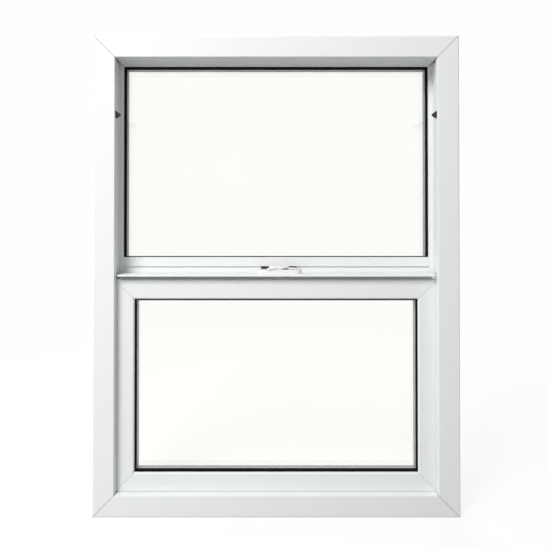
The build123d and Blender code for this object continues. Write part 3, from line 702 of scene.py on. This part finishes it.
def lifted(tree, geometry, height):
    """Geometry moved up Z."""
    inputs = {"Geometry": geometry, "Translation": vector_of(tree, 0.0, 0.0, height)}
    return place(tree, "GeometryNodeTransform", inputs).outputs[0]


def set_on(tree, points, shape, turn):
    """A shape set on each point."""
    inputs = {"Points": points, "Instance": shape, "Rotation": turn}
    return place(tree, "GeometryNodeInstanceOnPoints", inputs).outputs[0]


def joined(tree, *shapes):
    """Shapes joined in the order given."""
    node = place(tree, "GeometryNodeJoinGeometry")
    for shape in shapes:
        tree.links.new(shape, node.inputs[0])
    return node.outputs[0]


def pile_tree():
    """A strip of woven pile: a backing with tufts that stand on it, along X and up Z."""
    field_share, tip_share, tuft_share = 0.7, 0.35, 0.95
    tuft_sides = 4
    lean_from, lean_to = (-0.18, -0.12, 0.0), (0.18, 0.12, 3.1)
    sizes = {"Length": 0.3, "Width": 0.005, "Height": 0.004, "Backing": 0.001}
    tufting = {"Density": 600000.0, "Tuft radius": 0.0005, "Seed": 1}
    tree, given, end = geometry_tree("Pile strip", {**sizes, **tufting})
    tall = maths(tree, "SUBTRACT", given["Height"], given["Backing"])
    backing = block(tree, given["Length"], given["Width"], given["Backing"])
    low = lifted(tree, backing, scaled(tree, given["Backing"], 0.5))
    field = place(
        tree,
        "GeometryNodeMeshGrid",
        {
            "Size X": maths(tree, "SUBTRACT", given["Length"], given["Width"]),
            "Size Y": scaled(tree, given["Width"], field_share),
            "Vertices X": 2,
            "Vertices Y": 2,
        },
    )
    spots = place(
        tree,
        "GeometryNodeDistributePointsOnFaces",
        {"Mesh": field.outputs[0], "Density": given["Density"], "Seed": given["Seed"]},
    )
    tip = scaled(tree, given["Tuft radius"], tip_share)
    tuft = cone(tree, tuft_sides, tip, given["Tuft radius"], scaled(tree, tall, tuft_share))
    lean = place(
        tree,
        "FunctionNodeRandomValue",
        {0: lean_from, 1: lean_to, "Seed": given["Seed"]},
        data_type="FLOAT_VECTOR",
    )
    tufts = set_on(tree, spots.outputs["Points"], tuft, lean.outputs[0])
    close_tree(tree, given, end, joined(tree, low, lifted(tree, tufts, given["Backing"])))
    return tree


def screw_tree():
    """Screws with a cross in the head, one on each point, aimed along the point's own direction."""
    head_sides, shank_sides, reach_share = 32, 24, 1.15
    head_sizes = {"Head radius": 0.004, "Seat radius": 0.002, "Head height": 0.002}
    shank_sizes = {"Shank radius": 0.002, "Shank length": 0.02}
    recess = {"Recess width": 0.001, "Recess depth": 0.001}
    tree, given, end = geometry_tree("Cross-head screws", {**head_sizes, **shank_sizes, **recess})
    head = cone(tree, head_sides, given["Head radius"], given["Seat radius"], given["Head height"])
    shank = place(
        tree,
        "GeometryNodeMeshCylinder",
        {"Vertices": shank_sides, "Radius": given["Shank radius"], "Depth": given["Shank length"]},
    )
    lowered = lifted(tree, shank.outputs["Mesh"], scaled(tree, given["Shank length"], -0.5))
    reach = scaled(tree, given["Head radius"], reach_share)
    deep = scaled(tree, given["Recess depth"], 2.0)
    cut = place(tree, "GeometryNodeMeshBoolean", {"Mesh 1": head}, operation="DIFFERENCE")
    for x, y in ((reach, given["Recess width"]), (given["Recess width"], reach)):
        bar = lifted(tree, block(tree, x, y, deep), given["Head height"])
        tree.links.new(bar, cut.inputs["Mesh 2"])
    screw = joined(tree, cut.outputs["Mesh"], lowered)
    aim = place(tree, "GeometryNodeInputNamedAttribute", {"Name": "aim"}, data_type="FLOAT_VECTOR")
    turned = place(tree, "FunctionNodeAlignRotationToVector", {"Vector": aim.outputs[0]}, axis="Z")
    close_tree(tree, given, end, set_on(tree, given["Geometry"], screw, turned.outputs[0]))
    return tree


def coil_tree():
    """A flat spiral of spring ribbon, wound about Z."""
    steps_per_turn = 40
    radii = {"Inner radius": 0.0045, "Outer radius": 0.0093}
    tree, given, end = geometry_tree(
        "Spring coil", {"Turns": 12.0, **radii, "Width": 0.012, "Thickness": 0.0003},
    )
    path = place(
        tree,
        "GeometryNodeCurveSpiral",
        {
            "Resolution": steps_per_turn,
            "Rotations": given["Turns"],
            "Start Radius": given["Inner radius"],
            "End Radius": given["Outer radius"],
            "Height": 0.0,
        },
    )
    level = place(tree, "GeometryNodeSetCurveNormal", {"Curve": path.outputs[0]}, mode="Z_UP")
    strip = place(
        tree,
        "GeometryNodeCurvePrimitiveQuadrilateral",
        {"Width": given["Thickness"], "Height": given["Width"]},
        mode="RECTANGLE",
    )
    swept = place(
        tree,
        "GeometryNodeCurveToMesh",
        {"Curve": level.outputs[0], "Profile Curve": strip.outputs[0], "Fill Caps": True},
    )
    close_tree(tree, given, end, swept.outputs[0])
    return tree


# Pieces


class WINDOW_OT_bars(bpy.types.Operator):
    """Finish the white bars of the frame and of the sash"""

    bl_idname = "window.bars"
    bl_label = "Vinyl Bars"

    def execute(self, context):
        finish = context.scene.window_finish
        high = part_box("frame_head")[1]
        frame_mitres = (high.x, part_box("frame_sill")[0].z, high.z, 1.0)
        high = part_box("sash_top_rail")[1]
        sash_mitres = (high.x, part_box("sash_bottom_rail")[0].z, high.z, finish.sash_weld)
        looks = {
            "frame_level": vinyl_material("Vinyl frame level", level_grain, frame_mitres),
            "frame_upright": vinyl_material("Vinyl frame upright", upright_grain, frame_mitres),
            "sash_level": vinyl_material("Vinyl sash level", level_grain, sash_mitres),
            "sash_upright": vinyl_material("Vinyl sash upright", upright_grain, sash_mitres),
            "plain_level": vinyl_material("Vinyl level", level_grain),
            "plain_upright": vinyl_material("Vinyl upright", upright_grain),
        }
        beads = [f"upper_bead_{side}" for side in ("head", "rail", "left", "right")]
        beads += [f"sash_bead_{side}" for side in ("top", "bottom", "left", "right")]
        rows = (
            ("frame", finish.bar_edge, ("frame_head", "frame_sill", "frame_jamb_left", "frame_jamb_right")),
            ("plain", finish.bar_edge, ("fixed_meeting_rail",)),
            ("sash", finish.bar_edge, ("sash_top_rail", "sash_bottom_rail")),
            ("sash", finish.bar_edge, ("sash_stile_left", "sash_stile_right")),
            ("plain", finish.bar_edge, ("sash_lift_rail",)),
            ("plain", finish.bead_edge, (*beads, "track_cover_left", "track_cover_right")),
        )
        for part, edge, nodes in rows:
            for node in nodes:
                way = "upright" if node.endswith(("_left", "_right")) else "level"
                softened(node, edge, looks[f"{part}_{way}"])
        return {"FINISHED"}


class WINDOW_OT_glazing(bpy.types.Operator):
    """Finish the glass, its rubbers, spacers and blocks"""

    bl_idname = "window.glazing"
    bl_label = "Glazing"

    def execute(self, context):
        finish = context.scene.window_finish
        glass = glass_material()
        looks = {
            "pane_inner": glass,
            "pane_outer": glass,
            "gasket": moulded_material(
                "Gasket rubber", finish.gasket, roughness=0.6, grain=700, darker=0.6, specular=0.12,
            ),
            "edge_seal": moulded_material(
                "Edge sealant", finish.gasket, roughness=0.7, grain=500, darker=0.7, specular=0.3,
            ),
            "tape": moulded_material(
                "Glazing tape", finish.tape, roughness=0.85, grain=1100, darker=0.7, specular=0.2,
            ),
            "setting_blocks": moulded_material(
                "Setting block", finish.block, roughness=0.7, grain=400, darker=0.8, specular=0.3,
            ),
        }
        for unit in ("upper", "sash"):
            for part, look in looks.items():
                dress([f"{unit}_{part}"], look)
            low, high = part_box(f"{unit}_spacer")
            spacer = spacer_material(f"Spacer bar {unit}", low.y, high.y)
            dress([f"{unit}_spacer"], spacer)
        return {"FINISHED"}


class WINDOW_OT_weather_strips(bpy.types.Operator):
    """Grow the pile strips and finish the sill seal"""

    bl_idname = "window.weather_strips"
    bl_label = "Weather Strips"

    def execute(self, context):
        finish = context.scene.window_finish
        detail = context.scene.window_detail
        pile = moulded_material(
            "Weather pile", finish.pile, roughness=0.9, grain=1600, darker=0.6, specular=0.1,
        )
        tree = pile_tree()
        turns = {
            "sash_pile_left": (Vector((0, 0, 1)), Vector((-1, 0, 0))),
            "sash_pile_right": (Vector((0, 0, 1)), Vector((1, 0, 0))),
            "meeting_rail_pile": (Vector((1, 0, 0)), Vector((0, -1, 0))),
        }
        for node, (along, up) in turns.items():
            low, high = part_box(node)
            size = high - low
            side = up.cross(along)
            height = abs(size.dot(up))
            values = {
                "Length": abs(size.dot(along)),
                "Width": abs(size.dot(side)),
                "Height": height,
                "Backing": detail.pile_backing,
                "Density": detail.tuft_density,
                "Tuft radius": detail.tuft_radius,
                "Seed": detail.seed,
                "Material": pile,
            }
            mesh = grown(f"{node}_tufts", tree, one_point, values)
            root = (low + high) / 2 - up * (height / 2)
            turn = Matrix((along, side, up)).transposed().to_4x4()
            mesh.transform(Matrix.Translation(root) @ turn)
            piece(f"{node}_tufts", mesh, node, pile)
        bulb = moulded_material(
            "Sill seal", finish.seal, roughness=0.75, grain=900, darker=0.85, specular=0.25,
        )
        softened("sash_bottom_seal", finish.seal_edge, bulb, segments=4)
        return {"FINISHED"}


class WINDOW_OT_stops(bpy.types.Operator):
    """Finish the dark stops on the jambs"""

    bl_idname = "window.stops"
    bl_label = "Sash Stops"

    def execute(self, context):
        finish = context.scene.window_finish
        dark = moulded_material("Stop plastic", finish.stop, roughness=0.5, grain=800, darker=0.6)
        for node in ("sash_stop_left", "sash_stop_right"):
            softened(node, finish.lock_edge, dark, segments=3)
        return {"FINISHED"}


class WINDOW_OT_balances(bpy.types.Operator):
    """Wind the balance springs and finish what they pull"""

    bl_idname = "window.balances"
    bl_label = "Balances"

    def execute(self, context):
        core_share, width_share = 0.5, 0.86
        finish = context.scene.window_finish
        detail = context.scene.window_detail
        spring = metal_material("Spring steel", finish.steel, stretch=(1, 1, 0.03), roughness=0.3)
        plain = metal_material("Plated steel", finish.steel, stretch=(0.1, 1, 1), roughness=0.4)
        grey = moulded_material("Balance plastic", finish.balance, roughness=0.5, grain=800, darker=0.8)
        alloy = metal_material("Stiffener alloy", finish.alloy, stretch=(0.03, 1, 1), roughness=0.4)
        tree = coil_tree()
        for side in ("left", "right"):
            node = f"balance_coil_{side}"
            low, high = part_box(node)
            outer = (high.x - low.x) / 2
            values = {
                "Turns": detail.coil_turns,
                "Inner radius": outer * core_share,
                "Outer radius": outer - detail.ribbon_thickness,
                "Width": (high.y - low.y) * width_share,
                "Thickness": detail.ribbon_thickness,
                "Material": spring,
            }
            mesh = grown(f"{node}_spiral", tree, one_point, values)
            turn = Matrix.Rotation(math.radians(90), 4, "X")
            mesh.transform(Matrix.Translation((low + high) / 2) @ turn)
            piece(f"{node}_spiral", mesh, node, spring)
            self.ribbon(f"balance_ribbon_{side}", spring)
            softened(f"balance_housing_{side}", finish.bead_edge, grey)
            softened(f"balance_shoe_{side}", finish.lock_edge, grey)
            softened(f"pivot_bar_{side}", finish.lock_edge, plain)
        dress(["meeting_rail_stiffener", "sash_stiffener"], alloy)
        return {"FINISHED"}

    def ribbon(self, node, material):
        """A slightly cupped strip that shortens towards its coil as the sash rises."""
        columns, cup_share = 9, 0.6
        low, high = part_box(node)
        depth = (high.x - low.x) * cup_share
        shape = bmesh.new()
        rows = []
        for z in (low.z, high.z):
            row = []
            for step in range(columns):
                share = step / (columns - 1)
                cup = (1 - (2 * share - 1) ** 2) * depth
                y = low.y + share * (high.y - low.y)
                row.append([shape.verts.new((x + cup, y, z)) for x in (low.x, high.x - depth)])
            rows.append(row)
        foot, top = rows
        for step in range(columns - 1):
            for layer in (0, 1):
                upright = [foot[step], foot[step + 1], top[step + 1], top[step]]
                shape.faces.new([pair[layer] for pair in upright])
            for row in rows:
                shape.faces.new([row[step][0], row[step + 1][0], row[step + 1][1], row[step][1]])
        for step in (0, columns - 1):
            shape.faces.new([foot[step][0], foot[step][1], top[step][1], top[step][0]])
        bmesh.ops.recalc_face_normals(shape, faces=shape.faces)
        mesh = bpy.data.meshes.new(f"{node}_strip")
        shape.to_mesh(mesh)
        shape.free()
        obj = piece(f"{node}_strip", mesh, node, material)
        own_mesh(obj)


class WINDOW_OT_screws(bpy.types.Operator):
    """Make the screws of the lock, the rail and the balances"""

    bl_idname = "window.screws"
    bl_label = "Screws"

    def execute(self, context):
        shank_share, places = 0.48, 5
        finish = context.scene.window_finish
        detail = context.scene.window_detail
        white = moulded_material("Painted screw", finish.enamel, roughness=0.4, grain=900, darker=0.9)
        zinc = metal_material("Zinc screw", finish.steel, stretch=unstretched, roughness=0.35)
        tree = screw_tree()
        low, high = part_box("lock_screws")
        head = (high.y - low.y) / 2
        shank = head * shank_share
        taper = head - shank
        y = (low.y + high.y) / 2
        points = [((x, y, high.z - taper), (0, 0, 1)) for x in (low.x + head, high.x - head)]
        self.make("lock_screws", tree, points, white, (head, shank, taper), (shank, high.z - low.z - taper))
        pans = {
            "meeting_rail_screws": (1, detail.rail_head, detail.rail_shank),
            "balance_screws": (-1, detail.balance_head, detail.balance_shank),
        }
        for node, (facing, height, shank) in pans.items():
            low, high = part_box(node)
            head = (high.y - low.y) / 2
            y = (low.y + high.y) / 2
            heights = sorted({round(z, places) for z in (low.z + head, high.z - head)})
            corners = sorted(v.co.x for v in frame["nodes"][node].data.vertices if v.co.x > 0)
            inner, outer = corners[0], corners[-1]
            seat = outer - height if facing > 0 else inner + height
            length = seat - inner if facing > 0 else outer - seat
            points = []
            for sign in (-1, 1):
                for z in heights:
                    points.append(((sign * seat, y, z), (sign * facing, 0, 0)))
            self.make(node, tree, points, zinc, (head, head, height), (shank, length))
        return {"FINISHED"}

    def make(self, node, tree, points, material, head, shank):
        """Screws on points; a head has two radii and a height, and a shank a radius and a length."""
        detail = bpy.context.scene.window_detail
        values = {
            "Head radius": head[0],
            "Seat radius": head[1],
            "Head height": head[2],
            "Shank radius": shank[0],
            "Shank length": shank[1],
            "Recess width": detail.recess_width,
            "Recess depth": detail.recess_depth,
            "Material": material,
        }
        piece(f"{node}_cross", grown(f"{node}_cross", tree, points, values), node, material)


class WINDOW_OT_lock(bpy.types.Operator):
    """Finish the cam lock"""

    bl_idname = "window.lock"
    bl_label = "Cam Lock"

    def execute(self, context):
        finish = context.scene.window_finish
        enamel = moulded_material(
            "Lock enamel", finish.enamel, roughness=0.3, grain=260, relief=0.00008, darker=0.93, specular=0.5,
        )
        for node in ("lock_base", "lock_lever", "lock_cam"):
            softened(node, finish.lock_edge, enamel, segments=3)
        return {"FINISHED"}


class WINDOW_OT_stage(bpy.types.Operator):
    """Set up the floor, the lamps and the camera"""

    bl_idname = "window.stage"
    bl_label = "Studio"

    def execute(self, context):
        stage = context.scene.window_stage
        self.floor(stage)
        self.world(stage)
        low, high = cad_box
        middle = (Vector(low) + Vector(high)) / 2
        key = self.lamp("key", stage.key_place, stage.key_aim, stage.key_size, stage.key_power)
        key.spread = stage.key_spread
        self.lamp("side", stage.side_place, middle, stage.side_size, stage.side_power)
        self.lamp("back", stage.back_place, middle, stage.back_size, stage.back_power)
        data = bpy.data.cameras.new("camera")
        data.lens = stage.lens
        data.sensor_width = stage.sensor
        data.shift_x, data.shift_y = stage.shift
        data.clip_start = stage.nearest
        camera = bpy.data.objects.new("camera", data)
        camera.location = stage.camera_place
        camera.rotation_euler = stage.camera_turn
        context.scene.collection.objects.link(camera)
        context.scene.camera = camera
        context.scene.view_settings.view_transform = "Standard"
        return {"FINISHED"}

    def floor(self, stage):
        """A wide pale floor that is white in view and keeps a soft shadow near the window."""
        shape = bmesh.new()
        bmesh.ops.create_grid(shape, x_segments=1, y_segments=1, size=stage.floor_half)
        mesh = bpy.data.meshes.new("floor")
        shape.to_mesh(mesh)
        shape.free()
        floor = bpy.data.objects.new("floor", mesh)
        bpy.context.scene.collection.objects.link(floor)
        material, tree, shader = new_material("Pale floor", {"Roughness": 0.9, "Specular IOR Level": 0.1})
        glow = place(tree, "ShaderNodeEmission", {"Color": opaque(stage.backdrop), "Strength": 1.0})
        seen = in_view(tree)
        tone = blend_colour(tree, seen, opaque(stage.floor_bounce), opaque(stage.floor_tone))
        feed(tree, shader, {"Base Color": tone})
        spot = object_spot(tree)
        away = place(tree, "ShaderNodeVectorMath", {0: spot}, operation="LENGTH").outputs["Value"]
        clearing = (stage.floor_near, stage.floor_far)
        white = remapped(tree, away, clearing, (stage.floor_white, 1.0), "SMOOTHSTEP")
        end_in_mix(tree, maths(tree, "MULTIPLY", seen, white), shader, glow)
        paint(floor, material)

    def world(self, stage):
        """White in view, and a softer light on the window from all round."""
        world = bpy.data.worlds.new("studio")
        bpy.context.scene.world = world
        world.use_nodes = True
        tree = world.node_tree
        tree.nodes.clear()
        place(tree, "ShaderNodeOutputWorld", name="Output")
        white = place(tree, "ShaderNodeBackground", {"Color": opaque(stage.backdrop), "Strength": 1.0})
        soft = place(tree, "ShaderNodeBackground", {"Color": opaque(stage.sky), "Strength": stage.ambient})
        end_in_mix(tree, in_view(tree), soft, white)

    def lamp(self, name, spot, target, size, power):
        """A square soft lamp aimed at a point."""
        data = bpy.data.lights.new(name, "AREA")
        data.shape = "SQUARE"
        data.size = size
        data.energy = power
        lamp = bpy.data.objects.new(name, data)
        lamp.location = spot
        lamp.rotation_euler = (Vector(target) - Vector(spot)).to_track_quat("-Z", "Y").to_euler()
        lamp.visible_camera = False
        lamp.visible_glossy = False
        lamp.visible_transmission = False
        bpy.context.scene.collection.objects.link(lamp)
        return data


class WINDOW_PT_panel(bpy.types.Panel):
    """Steps that finish the window"""

    bl_idname = "WINDOW_PT_panel"
    bl_label = "Single-Hung Window"
    bl_space_type = "VIEW_3D"
    bl_region_type = "UI"
    bl_category = "Window"

    def draw(self, context):
        for operator in operators:
            self.layout.operator(operator.bl_idname)
        for name in settings:
            group = getattr(context.scene, name)
            box = self.layout.box()
            for key in group.bl_rna.properties.keys():
                if key not in ("rna_type", "name"):
                    box.prop(group, key)


operators = (
    WINDOW_OT_bars,
    WINDOW_OT_glazing,
    WINDOW_OT_weather_strips,
    WINDOW_OT_stops,
    WINDOW_OT_balances,
    WINDOW_OT_screws,
    WINDOW_OT_lock,
    WINDOW_OT_stage,
)
settings = {"window_finish": WindowFinish, "window_detail": WindowDetail, "window_stage": WindowStage}
classes = (*settings.values(), *operators, WINDOW_PT_panel)


def register():
    for cls in classes:
        bpy.utils.register_class(cls)
    for name, group in settings.items():
        setattr(bpy.types.Scene, name, PointerProperty(type=group))


def unregister():
    for name in settings:
        delattr(bpy.types.Scene, name)
    for cls in reversed(classes):
        bpy.utils.unregister_class(cls)


def main():
    register()
    bpy.ops.window.bars()
    bpy.ops.window.glazing()
    bpy.ops.window.weather_strips()
    bpy.ops.window.stops()
    bpy.ops.window.balances()
    bpy.ops.window.screws()
    bpy.ops.window.lock()
    bpy.ops.window.stage()


if __name__ == "__main__":
    main()
